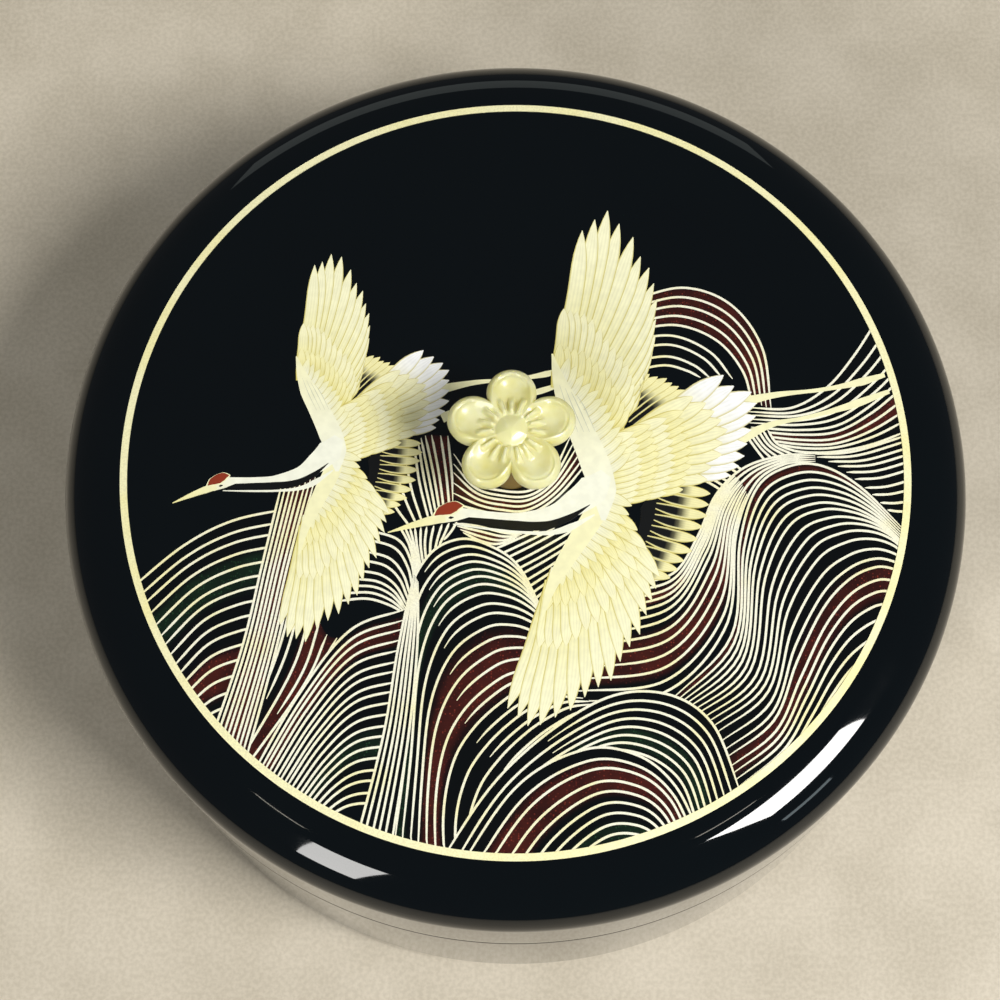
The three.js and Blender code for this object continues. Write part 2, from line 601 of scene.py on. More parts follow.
def spun(profile: Sequence[Vector], steps: int) -> bmesh.types.BMesh:
    """Spin a profile in the XZ plane once about Z.

    Args:
        profile: Points from the axis round to the axis.
        steps: How many steps one turn has.

    Returns:
        A closed bmesh with its faces pointing out.
    """
    mesh = bmesh.new()
    verts = [mesh.verts.new(point) for point in profile]
    edges = [mesh.edges.new(pair) for pair in zip(verts, verts[1:])]
    bmesh.ops.spin(
        mesh, geom=verts + edges, cent=(0, 0, 0), axis=(0, 0, 1),
        angle=FULL_TURN, steps=steps, use_merge=True,
    )
    bmesh.ops.remove_doubles(mesh, verts=mesh.verts, dist=1e-7)
    bmesh.ops.recalc_face_normals(mesh, faces=mesh.faces)
    return mesh


def smoothed(made: bpy.types.Object) -> bpy.types.Object:
    """Shade an object smooth, with its true corners left sharp.

    Args:
        made: The object.

    Returns:
        The same object.
    """
    made.data.shade_smooth()
    made.data.set_sharp_from_angle(angle=SMOOTH_LIMIT)
    return made


def quarter(centre: Vector, reach: float, rise: float, start: float, end: float,
            steps: int) -> list[Vector]:
    """Walk along part of an ellipse in the XZ plane.

    Args:
        centre: Its middle.
        reach: Its half width.
        rise: Its half height.
        start: Angle of the first point in degrees.
        end: Angle of the last point.
        steps: How many steps there are.

    Returns:
        The points in order.
    """
    points = []
    for step in range(steps + 1):
        angle = math.radians(start + (end - start) * step / steps)
        points.append(centre + Vector((reach * math.cos(angle), 0, rise * math.sin(angle))))
    return points


def rounded_rings(mesh: bmesh.types.BMesh, offset: float) -> None:
    """Round every sharp ring of a spun shape by a small amount.

    Args:
        mesh: The spun shape.
        offset: How far in the rounding starts.
    """
    sharp = [edge for edge in mesh.edges if edge.calc_face_angle(0.0) > SMOOTH_LIMIT]
    bmesh.ops.bevel(
        mesh, geom=sharp, offset=offset, segments=3, profile=0.5, affect="EDGES", material=-1,
    )


@dataclass
class BoxBase:
    """Lower half of the box: floor, straight wall, rounded foot and the lip that the lid slips over."""

    radius: float
    lip_top: float
    lip_rise: float = 5 * MM
    skirt: float = 2.1 * MM
    lip: float = 1.8 * MM
    foot_rounding: float = 4 * MM
    foot_ring: float = 52 * MM
    foot_recess: float = 1 * MM
    floor: float = 3 * MM
    inner_rounding: float = 5 * MM
    edge: float = 0.35 * MM
    steps: int = 256

    def profile(self) -> list[Vector]:
        """Go from the axis under the floor, up the wall and back along the floor.

        Returns:
            The outline's points.
        """
        seat = self.lip_top - self.lip_rise
        outer = self.radius - self.skirt
        inner = outer - self.lip
        floor_top = self.foot_recess + self.floor
        foot = Vector((self.radius - self.foot_rounding, 0, self.foot_rounding))
        corner = Vector((inner - self.inner_rounding, 0, floor_top + self.inner_rounding))
        return [
            Vector((0, 0, self.foot_recess)),
            Vector((self.foot_ring, 0, self.foot_recess)),
            Vector((self.foot_ring + self.foot_recess, 0, 0)),
            *quarter(foot, self.foot_rounding, self.foot_rounding, -90, 0, 14),
            Vector((self.radius, 0, seat - 3 * self.edge)),
            Vector((self.radius, 0, seat)),
            Vector((outer, 0, seat)),
            Vector((outer, 0, self.lip_top)),
            Vector((inner, 0, self.lip_top)),
            *quarter(corner, self.inner_rounding, self.inner_rounding, 0, -90, 12),
            Vector((0, 0, floor_top)),
        ]

    def build(self, finish: Material) -> bpy.types.Object:
        """Spin the base and dress it.

        Args:
            finish: Its lacquer.

        Returns:
            The finished piece.
        """
        mesh = spun(self.profile(), self.steps)
        rounded_rings(mesh, self.edge)
        piece = smoothed(new_object("box_base_lacquered", mesh, finish))
        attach(piece, BODY)
        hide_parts("box_base")
        return piece


@dataclass
class BoxLid:
    """Upper half of the box: flat top, rounded shoulder and skirt, hollow underneath."""

    radius: float
    foot: float
    top: float
    flat_radius: float = 54 * MM
    shoulder_drop: float = 6 * MM
    top_thickness: float = 2.6 * MM
    skirt: float = 1.8 * MM
    inner_reach: float = 7 * MM
    inner_drop: float = 5 * MM
    edge: float = 0.35 * MM
    steps: int = 256

    def profile(self) -> list[Vector]:
        """Go from the axis under the top, down inside the skirt and back over the shoulder.

        Returns:
            The outline's points.
        """
        inner = self.radius - self.skirt
        ceiling = self.top - self.top_thickness
        inside = Vector((inner - self.inner_reach, 0, ceiling - self.inner_drop))
        shoulder = Vector((self.flat_radius, 0, self.top - self.shoulder_drop))
        return [
            Vector((0, 0, ceiling)),
            *quarter(inside, self.inner_reach, self.inner_drop, 90, 0, 12),
            Vector((inner, 0, self.foot)),
            Vector((self.radius, 0, self.foot)),
            Vector((self.radius, 0, self.foot + 3 * self.edge)),
            *quarter(shoulder, self.radius - self.flat_radius, self.shoulder_drop, 0, 90, 36),
            Vector((0, 0, self.top)),
        ]

    def build(self, finish: Material) -> bpy.types.Object:
        """Spin the lid and dress it.

        Args:
            finish: Its lacquer.

        Returns:
            The finished piece.
        """
        mesh = spun(self.profile(), self.steps)
        rounded_rings(mesh, self.edge)
        piece = smoothed(new_object("box_lid_lacquered", mesh, finish))
        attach(piece, BODY)
        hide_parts("box_lid")
        return piece


@dataclass
class BlossomKnob:
    """Five dished petals round a boss, on a waisted stem, as one moulding. Sizes in millimetres."""

    lid_top: float
    offset: float = -0.5
    petals: int = 5
    petal_centre: float = 5.4
    petal_radius: float = 3.3
    rim_height: float = 15.0
    thickness: float = 3.4
    dish_depth: float = 0.95
    crest: float = 0.76
    rim_fall: float = 1.4
    underside_fall: float = 2.2
    boss_radius: float = 2.1
    boss_rise: float = 1.35
    stamens: int = 3
    stamen_spacing: float = 0.36
    stamen_start: float = 2.2
    stamen_end: float = 4.9
    stamen_half_width: float = 0.46
    stamen_root: float = 0.55
    stamen_flare: float = 0.6
    stamen_rise: float = 0.8
    soft_start: float = 5.0
    soft_end: float = 2.2
    mound: float = 0.5
    mound_reach: float = 2.0
    # How far out from the axis the painted highlight on the raised centre reaches.
    highlight_reach: float = 2.6
    stem_foot: float = 3.6
    stem_waist: float = 2.3
    stem_top: float = 3.4
    stem_share: float = 0.45
    crease: float = 0.14
    crease_place: float = 0.68
    crease_width: float = 0.06
    spread_rate: float = 1.6
    face_rings: int = 60
    under_rings: int = 26
    stem_rings: int = 20
    steps: int = 300

    FACE = 3.0
    UNDER = 2.0
    STEM = 1.0

    def turn_from_petal(self, angle: float) -> float:
        """Measure from the nearest petal's middle line.

        Args:
            angle: Angle round the axis.

        Returns:
            The angle between them.
        """
        pitch = FULL_TURN / self.petals
        turn = angle - math.pi / 2
        return turn - pitch * round(turn / pitch)

    def reach(self, angle: float) -> float:
        """Measure from the axis to the outline.

        Args:
            angle: Angle round the axis.

        Returns:
            The distance.
        """
        turn = self.turn_from_petal(angle)
        across = self.petal_centre * math.sin(turn)
        return self.petal_centre * math.cos(turn) + math.sqrt(self.petal_radius**2 - across**2)

    def stamen(self, radius: float, angle: float) -> float:
        """Height of the ridges that fan out from the boss, wider towards their ends.

        Args:
            radius: Distance from the axis.
            angle: Angle round the axis.

        Returns:
            The height over the petals.
        """
        along = (radius - self.stamen_start) / (self.stamen_end - self.stamen_start)
        if not 0 < along < 1:
            return 0.0
        turn = self.turn_from_petal(angle)
        middle = (self.stamens - 1) / 2
        index = min(max(round(turn / self.stamen_spacing), -middle), middle)
        half = self.stamen_half_width * (self.stamen_root + self.stamen_flare * along)
        across = radius * (turn - index * self.stamen_spacing) / half
        ends = eased(min(self.soft_end * (1 - along), self.soft_start * along))
        return self.stamen_rise * max(0.0, 1 - abs(across) ** 3) * ends

    def face(self, share: float, angle: float) -> float:
        """Height of the blossom's face.

        Args:
            share: Share of the way from the axis to the outline.
            angle: Angle round the axis.

        Returns:
            The height over the lid.
        """
        radius = share * self.reach(angle)
        turn = self.turn_from_petal(angle)
        beyond = max(0.0, radius * math.cos(turn) - self.petal_centre)
        lobe = math.hypot(beyond, radius * math.sin(turn)) / self.petal_radius
        dish = max(0.0, 1 - (lobe / self.crest) ** 2)
        past = max(0.0, (share - self.crest) / (1 - self.crest))
        rim = self.rim_fall * (1 - math.sqrt(max(0.0, 1 - past**2)))
        mound = self.mound * (1 - eased((radius - self.boss_radius) / self.mound_reach))
        boss = mound + (self.boss_rise - self.mound) * max(0.0, 1 - (radius / self.boss_radius) ** 2)
        from_crease = (lobe - self.crease_place) / self.crease_width
        crease = self.crease * eased(beyond) * math.exp(-(from_crease**2))
        height = self.rim_height - self.dish_depth * dish - rim - crease
        return height + boss + self.stamen(radius, angle)

    def underside(self, share: float) -> float:
        """Height underneath, rounded at the rim and falling towards the stem.

        Args:
            share: Share of the way from the axis to the outline.

        Returns:
            The height over the lid.
        """
        past = max(0.0, (share - self.crest) / (1 - self.crest))
        widest = self.rim_height - self.rim_fall
        depth = (self.thickness - self.rim_fall) * math.sqrt(max(0.0, 1 - past**2))
        return widest - depth - self.underside_fall * (1 - eased(share / self.crest))

    def stem_radius(self, share: float) -> float:
        """Width of the waisted stem.

        Args:
            share: Share of the way down it.

        Returns:
            The radius.
        """
        top_flare = (self.stem_top - self.stem_waist) * max(0.0, 1 - 2 * share) ** 2
        foot_flare = (self.stem_foot - self.stem_waist) * max(0.0, 2 * share - 1) ** 2
        return self.stem_waist + top_flare + foot_flare

    def build(self, finish: Material) -> bpy.types.Object:
        """Spin a profile of shares and zones, shape it into the knob and dress it.

        Args:
            finish: Its resin.

        Returns:
            The finished piece.
        """
        stem_share = self.stem_share
        markers = [(ring / self.face_rings, self.FACE) for ring in range(self.face_rings + 1)]
        for ring in range(1, self.under_rings + 1):
            markers.append((1 - (1 - stem_share) * ring / self.under_rings, self.UNDER))
        for ring in range(1, self.stem_rings + 1):
            markers.append((stem_share, self.STEM - ring / self.stem_rings))
        markers.append((0.0, 0.0))
        mesh = spun([Vector((share, 0, zone)) for share, zone in markers], self.steps)
        stem_height = self.underside(stem_share)
        ridge_highlight = mesh.verts.layers.float.new("ridge_highlight")
        for vert in mesh.verts:
            share = math.hypot(vert.co.x, vert.co.y)
            zone = vert.co.z
            angle = math.atan2(vert.co.y, vert.co.x)
            petal = share * self.reach(angle)
            if zone > (self.FACE + self.UNDER) / 2:
                radius = petal
                height = self.face(share, angle)
                stamen = self.stamen(radius, angle) / self.stamen_rise
                # Share of painted highlight: full on the stamens, and on the boss, fading out round it.
                vert[ridge_highlight] = min(1.0, stamen + eased(self.highlight_reach - radius))
            elif zone > (self.UNDER + self.STEM) / 2:
                round_radius = self.stem_top * share / stem_share
                spread = eased((share - stem_share) / (1 - stem_share) * self.spread_rate)
                radius = round_radius + (petal - round_radius) * spread
                height = self.underside(share)
            else:
                radius = self.stem_radius(1 - zone) * min(1.0, share / stem_share)
                height = stem_height * zone
            spot = Vector((radius * math.cos(angle) + self.offset, radius * math.sin(angle), height))
            vert.co = spot * MM + Vector((0, 0, self.lid_top))
        bmesh.ops.recalc_face_normals(mesh, faces=mesh.faces)
        piece = smoothed(new_object("blossom_knob_moulded", mesh, finish))
        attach(piece, BODY)
        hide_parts("blossom_knob")
        return piece


class InkLayer:
    """Flat shapes of ink in millimetres, stamped one by one and closed into slabs bedded in the lid."""

    BED = -0.05
    PLAIN_ALONG = 0.25
    PLAIN_ACROSS = 0.4

    def __init__(self, lid_top: float) -> None:
        """Start an empty layer.

        Args:
            lid_top: Height of the lid's top in metres.
        """
        self.lid_top = lid_top
        self.mesh = bmesh.new()
        self.tint = self.mesh.verts.layers.float_color.new("tint")
        self.along = self.mesh.verts.layers.float.new("along")
        self.across = self.mesh.verts.layers.float.new("across")

    def stamp(self, size: tuple[int, int], place: Place, tint: Callable[[float, float], Colour],
              lined: bool = False) -> None:
        """Add one shape: a grid that is laid out by a rule.

        Args:
            size: Cells along and across.
            place: Gives the spot and its level from the shares along (0 to 1) and across (-1 to 1).
            tint: Gives the colour from the same shares.
            lined: Whether the feather lines are drawn on it.
        """
        made = bmesh.ops.create_grid(self.mesh, x_segments=size[0], y_segments=size[1], size=1.0)
        for vert in made["verts"]:
            along = (vert.co.x + 1) / 2
            across = vert.co.y
            vert[self.tint] = tint(along, across)
            vert[self.along] = along if lined else self.PLAIN_ALONG
            vert[self.across] = across if lined else self.PLAIN_ACROSS
            vert.co = place(along, across)

    def ribbon(self, path: Sequence[Point], halves: Sequence[float], level: float,
               colours: Sequence[Colour], cells: tuple[int, int] = (24, 2)) -> None:
        """Add a band along a smooth path.

        Args:
            path: Points that the band's middle runs through.
            halves: Half widths, evenly spaced along it.
            level: Height of its top in millimetres.
            colours: Its one colour, or its colours at its start and its end.
            cells: Cells along and across.
        """

        def place(along: float, across: float) -> Vector:
            """Lay out the band.

            Args:
                along: Share along it, from 0 to 1.
                across: Share across it, from -1 to 1.

            Returns:
                The spot.
            """
            run = through(path, along + 0.01) - through(path, along - 0.01)
            side = Vector((-run.y, run.x)).normalized()
            spot = through(path, along) + side * across * along_values(halves, along)
            return Vector((spot.x, spot.y, level))

        self.stamp(cells, place, lambda along, across: mixed(colours[0], colours[-1], along))

    def trim(self, radius: float) -> None:
        """Cut off what lies outside a circle about the lid's axis.

        Args:
            radius: The circle's radius.
        """
        outside = {vert for vert in self.mesh.verts if vert.co.xy.length > radius}
        gone = [face for face in self.mesh.faces if all(vert in outside for vert in face.verts)]
        bmesh.ops.delete(self.mesh, geom=gone, context="FACES")
        for vert in self.mesh.verts:
            if vert.co.xy.length > radius:
                vert.co.xy = vert.co.xy.normalized() * radius

    def close(self, name: str, finish: Material) -> bpy.types.Object:
        """Give every shape its thickness and finish the piece.

        Args:
            name: The piece's name.
            finish: Its ink.

        Returns:
            The finished piece.
        """
        lower = bmesh.ops.extrude_face_region(self.mesh, geom=list(self.mesh.faces))
        for element in lower["geom"]:
            if isinstance(element, bmesh.types.BMVert):
                element.co.z = self.BED
        bmesh.ops.scale(self.mesh, vec=(MM, MM, MM), verts=self.mesh.verts)
        bmesh.ops.translate(self.mesh, vec=(0, 0, self.lid_top), verts=self.mesh.verts)
        bmesh.ops.recalc_face_normals(self.mesh, faces=self.mesh.faces)
        piece = new_object(name, self.mesh, finish)
        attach(piece, BODY)
        return piece


class Dust(Enum):
    """Colours of the metal dust sprinkled between the wave lines."""

    COPPER = srgb(74, 25, 17)
    GREEN = srgb(15, 36, 19)


@dataclass(frozen=True)
class WaveBundle:
    """Lines combed side by side across a few guide curves, with bands of dust between them."""

    guides: tuple[tuple[Point, ...], ...]
    lines: int
    bands: tuple[tuple[Dust, float, float], ...] = ()
    keep: int = 1
    stop: float = 1.0
    begin: float = 0.0

    SIDE_FADE = 0.2
    END_FADE = 0.12
    END_SHARE = 0.4

    def spot(self, along: float, share: float) -> Vector:
        """Point at a share of the way from the first guide to the last one."""
        return through([through(guide, along) for guide in self.guides], share)

    def reach(self, line: int) -> Point:
        """Find where a line runs: only every so many of them run the whole way.

        Args:
            line: The line's number.

        Returns:
            The shares where it begins and stops.
        """
        if line % self.keep == 0:
            return (0.0, 1.0)
        return (self.begin, self.stop)

    def dust(self, along: float, share: float) -> Colour:
        """Colour the ground, fading at both ends and at the sides of each band.

        Args:
            along: Share along the lines.
            share: Share across the bundle.

        Returns:
            The colour.
        """
        total = [0.0, 0.0, 0.0]
        for kind, start, end in self.bands:
            soft = self.SIDE_FADE * (end - start)
            amount = eased((share - start) / soft) * eased((end - share) / soft)
            for left in (along, 1 - along):
                amount *= eased(left / self.END_FADE + self.END_SHARE)
            total = [t + amount * c for t, c in zip(total, kind.value)]
        return (*total, 1.0)


@dataclass
class WaveField:
    """The combed sea on the lower half of the lid, drawn from the back to the front."""

    lid_top: float
    rim: float = 53.4
    half_width: float = 0.165
    wander: float = 0.1
    step: float = 0.0013
    line_step: float = 0.0004
    line_levels: int = 3
    end_width: float = 0.3
    end_growth: float = 6.0
    ground_cells: tuple[int, int] = (40, 30)
    line_cells: int = 56
    seed: int = 3

    def far_bundles(self) -> tuple[WaveBundle, ...]:
        """The sea behind the right-hand crane.

        Returns:
            The bundles, the furthest first.
        """
        copper = Dust.COPPER
        return (
            WaveBundle(lines=5, bands=((copper, -0.1, 1.1),), guides=(
                ((16, 24), (23.5, 25.9), (30, 23.4), (34.2, 17), (35.2, 8)),
                ((16, 19.5), (22.5, 20.3), (28, 18), (31.4, 13.6), (32.6, 9)),
            )),
            WaveBundle(lines=4, guides=(
                ((16, 18.2), (22, 18.7), (27, 16.3), (30, 12.4)),
                ((16, 13.4), (20.5, 14.3), (23.5, 13.6), (25.5, 12.6)),
            )),
            WaveBundle(lines=11, bands=((copper, 0.6, 0.84),), guides=(
                ((32, 8.2), (38, 8.2), (43, 11.2), (47, 16), (50.5, 21.5)),
                ((32, 6.4), (39, 6.2), (44.5, 7.6), (49.5, 11.5), (53.5, 16)),
                ((33, 4.4), (39, 3.8), (44, 4.1), (49, 6.6), (54, 10.5)),
                ((35.5, 2.6), (39.5, 1.8), (44, 1.9), (49, 3), (54, 5)),
            )),
            WaveBundle(lines=10, guides=(
                ((40, 1.6), (46, 1.9), (54, 4.4)),
                ((44, -0.2), (48.5, 0), (54, 1.6)),
                ((47.5, -3.2), (50.5, -3), (54, -2)),
                ((50.5, -6.4), (52, -6.6), (54, -6.6)),
            )),
            WaveBundle(lines=6, guides=(
                ((31, 5.2), (32.8, 2.4), (34.2, 0.4)),
                ((34.6, 5), (36, 2.9), (39, 1.7)),
            )),
            WaveBundle(lines=6, guides=(
                ((24.5, -1.6), (26.6, -2.8), (28.4, -4)),
                ((29, 1), (30.2, -0.2), (31.4, -1)),
            )),
            WaveBundle(lines=13, bands=((copper, 0.12, 0.3), (copper, 0.55, 0.9)),
                       keep=3, stop=0.62, guides=(
                ((16, -17), (21.5, -15.2), (24.8, -10), (27.2, -4.5), (31, -0.6), (36, 1.2), (41, 1.6)),
                ((9, -24), (20.5, -21.5), (26, -13.5), (28.5, -6), (31.8, -1.6), (36.3, 0.6), (41, 1.1)),
                ((7, -33), (20, -31.6), (28.3, -22.5), (29.9, -10), (32.6, -2.9), (36.6, 0), (41, 0.5)),
            )),
            WaveBundle(lines=20, bands=((copper, 0.0, 0.06), (copper, 0.66, 0.82)), guides=(
                ((20, -33.4), (28.9, -24), (30.4, -11), (33, -3.2), (37.5, -0.2), (42, -0.2), (47, -3.2),
                 (53, -9.6)),
                ((22, -35), (30.6, -28), (32.8, -15), (36, -7.6), (40.5, -5.2), (45, -5.6), (49, -7.6),
                 (53, -11.4)),
                ((26, -37), (33.5, -31), (36.3, -20), (40.5, -12.8), (44.5, -10.4), (48, -10), (51, -11),
                 (53, -13)),
                ((28, -42), (34.5, -37), (38, -30), (41.5, -23), (45, -18.6), (48.5, -16.6), (51, -16.6),
                 (53, -17)),
                ((30, -46), (36, -41), (39.5, -36), (42, -32), (44.2, -29), (46.5, -26.8), (48.5, -25.4),
                 (50, -25)),
            )),
        )

    def near_bundles(self) -> tuple[WaveBundle, ...]:
        """The sea under the cranes' heads and along the near rim.

        Returns:
            The bundles, the furthest first.
        """
        copper, green = Dust.COPPER, Dust.GREEN
        return (
            WaveBundle(lines=10, bands=((copper, 0.62, 1.1),), guides=(
                ((-17, -5), (-15.8, -6.8), (-14.2, -9)),
                ((-13.8, 2), (-13, -3), (-11.6, -8.4)),
                ((-12.4, 4), (-11.2, -1.5), (-10.2, -7.2)),
                ((-9.2, 4), (-8.6, -1.5), (-8.2, -7)),
            )),
            WaveBundle(lines=6, bands=((copper, 0.3, 0.95),), guides=(
                ((-8.4, 1.4), (-5.5, -2.6), (-2, -3.8), (2, -3.8), (5, -1.4), (7.6, 4)),
                ((-8.4, -5.6), (-5, -6.6), (-2, -7.2), (1.5, -7.3), (5.8, -4.6), (10.5, 1)),
            )),
            WaveBundle(lines=9, guides=(
                ((-20, -9.4), (-15.8, -10.8), (-14, -13.8), (-13.4, -17.4)),
                ((-21, -15), (-18, -15.6), (-15.9, -17.2), (-14.4, -20)),
                ((-24, -19.4), (-20, -19), (-17, -19.8), (-14.8, -21)),
            )),
            WaveBundle(lines=10, guides=(
                ((-15.6, -9), (-14.2, -11.8), (-13.2, -16.5)),
                ((-12.4, -9), (-12.5, -11.4), (-12.2, -14)),
                ((-7.8, -8.2), (-8.6, -9.6), (-9.6, -10.8)),
            )),
            WaveBundle(lines=4, bands=((copper, 0.3, 1.0),), guides=(
                ((-8.2, -8.4), (-5, -8.8), (-1.5, -9.7), (1, -10)),
                ((-7, -9.8), (-4.6, -11), (-2.4, -11.4), (0, -10.6)),
            )),
            WaveBundle(lines=10, guides=(
                ((4, -9), (0.5, -10.6), (-3, -12.2)),
                ((9.4, -9.8), (4.5, -13), (0, -15.6)),
                ((7, -15.4), (4.6, -17.4), (2, -19.6)),
            )),
            WaveBundle(lines=16, bands=((green, 0.2, 0.42), (copper, 0.66, 0.88)), guides=(
                ((-52, -18), (-45, -11.8), (-38.5, -8.2), (-31, -6.4)),
                ((-46, -28), (-41.5, -23), (-37, -20.8), (-33, -20)),
                ((-42, -38), (-39.5, -36.4), (-37, -35.6), (-34.5, -35.4)),
            )),
            WaveBundle(lines=9, bands=((copper, 0.2, 0.7),), keep=2, stop=0.7, guides=(
                ((-29, -13), (-31.5, -26), (-37, -41)),
                ((-25, -24), (-28, -31), (-36, -43)),
                ((-19, -22), (-27, -31.5), (-34, -45)),
            )),
            WaveBundle(lines=19, bands=((copper, 0.03, 0.2), (green, 0.62, 0.78)), guides=(
                ((-35, -44), (-28.5, -32), (-22, -23.4), (-14.5, -20.4)),
                ((-30, -46), (-25.5, -39), (-21, -34.5), (-15.5, -33)),
                ((-26, -50), (-23, -47.5), (-20.5, -46.6), (-17, -46.6)),
            )),
            WaveBundle(lines=24, bands=((green, 0.14, 0.3), (copper, 0.45, 0.68)),
                       keep=2, begin=0.4, guides=(
                ((-18, -54), (-15.6, -38), (-14.4, -20), (-11.8, -13.2), (-7.6, -10.7), (-3.4, -11.6),
                 (0.6, -14.6), (4.4, -22)),
                ((-14, -56), (-13, -42), (-12, -30), (-9.2, -22.6), (-4.8, -19.4), (-1, -19.4), (2.4, -21),
                 (5.6, -24)),
                ((-9, -58), (-9.6, -48), (-8.4, -40.5), (-5.6, -35.6), (-1.4, -31.8), (1.6, -30.4),
                 (4, -30), (7, -31)),
                ((-3, -58), (-3.6, -52), (-2, -47), (1, -43), (4, -40), (7, -37.6), (10, -35.8),
                 (14, -34.4)),
            )),
            WaveBundle(lines=9, bands=((green, 0.5, 0.85),), keep=2, begin=0.3, guides=(
                ((-12, -58), (-2, -43), (10, -33.4), (19, -31.6), (26, -35.6), (30, -46)),
                ((-8, -58), (0, -45), (10.5, -37.6), (17.5, -36.6), (23.5, -40.4), (26.4, -49)),
                ((-4, -58), (1.6, -46.4), (10, -41), (16, -41), (21, -44.4), (23.5, -51)),
            )),
            WaveBundle(lines=11, bands=((copper, 0.1, 0.45), (green, 0.68, 0.9)), guides=(
                ((-9, -58), (0, -44.6), (9, -39.4), (16, -40), (21, -44), (24.4, -51)),
                ((0, -58), (5, -51), (11, -46.6), (16, -46.6), (19.4, -49), (21.4, -54)),
                ((7, -60), (10, -55.6), (13, -53.4), (16, -53), (18, -54), (19, -56)),
            )),
            WaveBundle(lines=9, bands=((copper, 0.1, 1.0),), guides=(
                ((-31.6, -2), (-34, -14), (-36.4, -26), (-40.5, -40)),
                ((-26.6, -2), (-29.4, -14), (-32, -27), (-36, -44)),
            )),
            WaveBundle(lines=6, guides=(
                ((-13.6, -15.6), (-15.6, -26), (-17.4, -38), (-21.2, -54)),
                ((-13, -16.6), (-13, -26), (-14, -38), (-16.4, -55)),
            )),
        )

    def build(self, ground: Material, ink: Material) -> list[bpy.types.Object]:
        """Lay the dusted ground and draw the gold lines.

        Args:
            ground: Finish of the ground.
            ink: Finish of the lines.

        Returns:
            The two finished pieces.
        """
        grounds = InkLayer(self.lid_top)
        lines = InkLayer(self.lid_top)
        self.chance = random.Random(self.seed)
        for index, bundle in enumerate(self.far_bundles() + self.near_bundles()):
            self.lay_ground(grounds, bundle, self.step * (2 * index + 1))
            for line in range(bundle.lines):
                self.draw_line(lines, bundle, line, self.step * (2 * index + 2))
        grounds.trim(self.rim)
        lines.trim(self.rim)
        return [grounds.close("lid_wave_ground", ground), lines.close("lid_wave_lines", ink)]

    def lay_ground(self, layer: InkLayer, bundle: WaveBundle, level: float) -> None:
        """Stamp the ground under one bundle.

        Args:
            layer: Where it is stamped.
            bundle: The bundle.
            level: Height of its top.
        """

        def place(along: float, across: float) -> Vector:
            """Spot on the ground."""
            spot = bundle.spot(along, (across + 1) / 2)
            return Vector((spot.x, spot.y, level))

        layer.stamp(self.ground_cells, place, lambda along, across: bundle.dust(along, (across + 1) / 2))

    def draw_line(self, layer: InkLayer, bundle: WaveBundle, line: int, level: float) -> None:
        """Stamp one line of a bundle, a little out of its place and finer at its ends.

        Args:
            layer: Where it is stamped.
            bundle: The bundle.
            line: The line's number.
            level: Height of the bundle's lines.
        """
        pitch = 1 / (bundle.lines - 1)
        share = pitch * (line + self.chance.uniform(-self.wander, self.wander))
        begin, stop = bundle.reach(line)
        run = (stop - begin) / self.line_cells
        spots = [bundle.spot(begin + run * cell, share) for cell in range(self.line_cells + 1)]
        height = level + self.line_step * (line % self.line_levels)

        def place(along: float, across: float) -> Vector:
            """Lay out the line.

            Args:
                along: Share along it, from 0 to 1.
                across: Share across it, from -1 to 1.

            Returns:
                The spot.
            """
            cell = round(along * self.line_cells)
            ahead = spots[min(cell + 1, self.line_cells)] - spots[max(cell - 1, 0)]
            side = Vector((-ahead.y, ahead.x)).normalized()
            from_end = min(along, 1 - along)
            half = self.half_width * min(1.0, self.end_width + self.end_growth * from_end)
            spot = spots[cell] + side * across * half
            return Vector((spot.x, spot.y, height))

        layer.stamp((self.line_cells, 1), place, lambda along, across: (1.0, 1.0, 1.0, 1.0))


@dataclass
class GoldRing:
    """Printed ring at the edge of the lid's flat top."""

    lid_top: float
    outer: float = 54.0
    inner: float = 53.0
    inner_level: float = 0.11
    outer_level: float = 0.02
    steps: int = 256

    def build(self, ink: Material) -> bpy.types.Object:
        """Spin the ring and dress it.

        Args:
            ink: Its ink.

        Returns:
            The finished piece.
        """
        mesh = bmesh.new()
        corners = (
            (self.inner, InkLayer.BED), (self.outer, InkLayer.BED),
            (self.outer, self.outer_level), (self.inner, self.inner_level),
        )
        verts = [mesh.verts.new((r * MM, 0, self.lid_top + z * MM)) for r, z in corners]
        edges = [mesh.edges.new((verts[i], verts[i - 1])) for i in range(4)]
        bmesh.ops.spin(mesh, geom=verts + edges, cent=(0, 0, 0), axis=(0, 0, 1),
                       angle=FULL_TURN, steps=self.steps, use_merge=True)
        bmesh.ops.recalc_face_normals(mesh, faces=mesh.faces)
        piece = new_object("lid_gold_ring", mesh, ink)
        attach(piece, BODY)
        return piece


class Plumage(Enum):
    """Colours of a crane's feathers, at the root and at the tip."""

    FLIGHT = (srgb(240, 234, 166), srgb(250, 248, 208))
    COVERT = (srgb(238, 231, 156), srgb(249, 246, 202))
    GOLDEN = (srgb(228, 217, 128), srgb(247, 242, 184))
    DOWN = (srgb(243, 243, 220), srgb(245, 242, 194))
    TAIL = (srgb(238, 232, 166), srgb(254, 255, 254))
    DARK = (srgb(8, 9, 10), srgb(244, 238, 178))


